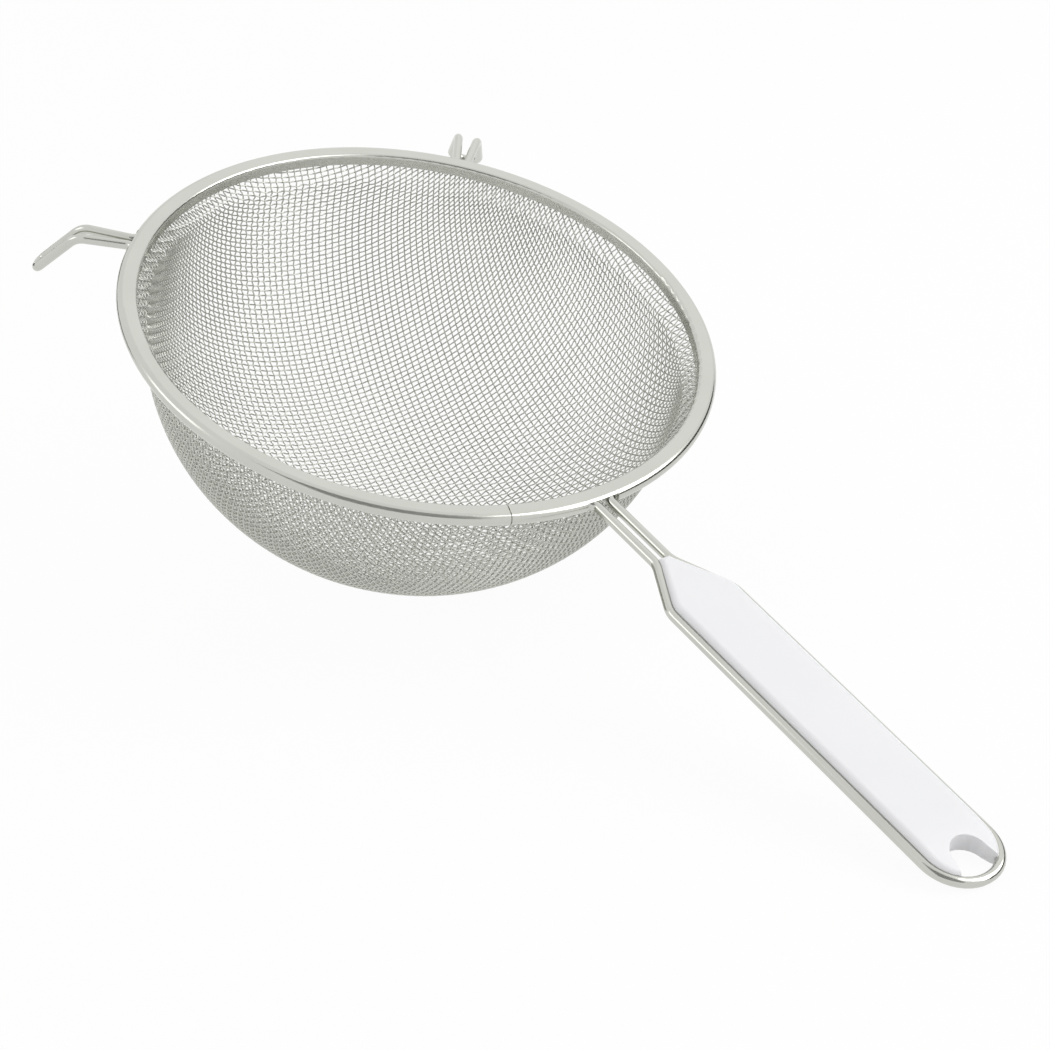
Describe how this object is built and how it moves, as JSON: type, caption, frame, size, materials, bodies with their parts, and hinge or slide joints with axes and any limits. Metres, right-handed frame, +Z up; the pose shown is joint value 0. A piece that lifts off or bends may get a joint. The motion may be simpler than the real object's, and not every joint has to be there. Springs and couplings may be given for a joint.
{
  "type": "sieve",
  "caption": "Round-bottomed hand sieve: woven wire bowl in a rolled metal rim, two rest hooks at the back, and a bent wire handle with a moulded plastic grip and a hanging hole.",
  "frame": {"origin": "the point on the outside of the bowl where it touches the table while the sieve rests on its bowl and on the tip of its handle", "axes": "+Z up, +X level and towards the handle, +Y to the left of the handle seen from its tip, XZ the plane of symmetry; the rim is tilted 19.8 degrees about Y, down towards the handle"},
  "size_m": [0.355, 0.2, 0.1242],
  "materials": {
    "band": "bright plated sheet",
    "wire": "bright plated wire",
    "mesh": "woven tinned wire, satin",
    "grip": "white, semi-matt, moulded"
  },
  "bodies": {
    "root": {"rim_band": "band", "frame_wire": "wire", "mesh_bowl": "mesh", "grip": "grip"}
  },
  "joints": []
}
